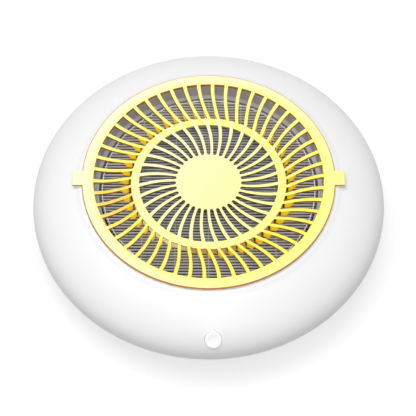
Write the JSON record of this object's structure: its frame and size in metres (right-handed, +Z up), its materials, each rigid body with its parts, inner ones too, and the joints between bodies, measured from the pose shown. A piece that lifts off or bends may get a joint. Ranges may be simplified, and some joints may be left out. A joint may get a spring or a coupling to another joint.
{
  "type": "nail dust collector",
  "caption": "Round desk nail dust collector: domed body, lift-off swirl grille over a pleated filter, centrifugal fan, front push button and rear vents.",
  "frame": {"origin": "on the table, under the centre of the round body", "axes": "+Z up out of the grille, +X to the right as seen from the button, -Y towards the button at the front"},
  "size_m": [0.29, 0.29, 0.076],
  "materials": {
    "white_gloss": "white, softly glossy moulding",
    "pale_gold": "pale gold satin lacquer on plastic",
    "filter_grey": "matt grey filter frame",
    "media_grey": "pleated grey filter paper",
    "foam_black": "closed-cell foam",
    "black_plastic": "matt black moulding",
    "steel": "bright zinc-plated steel",
    "brass": "sintered bronze bearing",
    "copper": "copper winding and laminated core",
    "rubber": "soft dark rubber",
    "board_green": "green circuit board",
    "nylon": "natural nylon",
    "lead_red": "red insulated lead"
  },
  "bodies": {
    "housing": {"bearing_lower": "brass", "bearing_upper": "brass", "board_screw_1": "steel", "board_screw_2": "steel", "bottom_shell": "white_gloss", "control_board": "board_green", "dc_socket": "black_plastic", "fan_scroll": "black_plastic", "filter_well": "white_gloss", "foot_1": "rubber", "foot_2": "rubber", "foot_3": "rubber", "foot_4": "rubber", "inlet_plate": "black_plastic", "lead_connector": "nylon", "motor_base": "steel", "motor_can": "steel", "motor_lead": "lead_red", "motor_screw_1": "steel", "motor_screw_2": "steel", "motor_screw_3": "steel", "plate_screw_1": "steel", "plate_screw_2": "steel", "plate_screw_3": "steel", "push_switch": "steel", "shell_screw_1": "steel", "shell_screw_2": "steel", "shell_screw_3": "steel", "shell_screw_4": "steel", "socket_lead": "black_plastic", "top_shell": "white_gloss"},
    "button": {"button_cap": "white_gloss", "switch_plunger": "black_plastic"},
    "fan": {"impeller": "black_plastic", "motor_rotor": "copper", "motor_shaft": "steel"},
    "grille": {"grille": "pale_gold"},
    "filter": {"filter_frame": "filter_grey", "filter_media": "media_grey", "filter_seal": "foam_black"}
  },
  "joints": [
    {"name": "button_press", "type": "slide", "parent": "housing", "child": "button", "axis": [-0.0179, 0.6824, -0.7307], "range_m": [0, 0.001], "stiffness_N_per_m": 600, "springref_m": -0.001},
    {"name": "fan_spin", "type": "hinge", "parent": "housing", "child": "fan", "pos_m": [0, 0, 0.0208], "axis": [0, 0, 1], "continuous": true},
    {"name": "grille_lift", "type": "slide", "parent": "housing", "child": "grille", "axis": [0, 0, 1], "range_m": [0, 0.1]},
    {"name": "filter_lift", "type": "slide", "parent": "housing", "child": "filter", "axis": [0, 0, 1], "range_m": [0, 0.05]}
  ],
  "couplings": [
    {"joint": "filter_lift", "follows": "grille_lift", "ratio": 0.5}
  ]
}
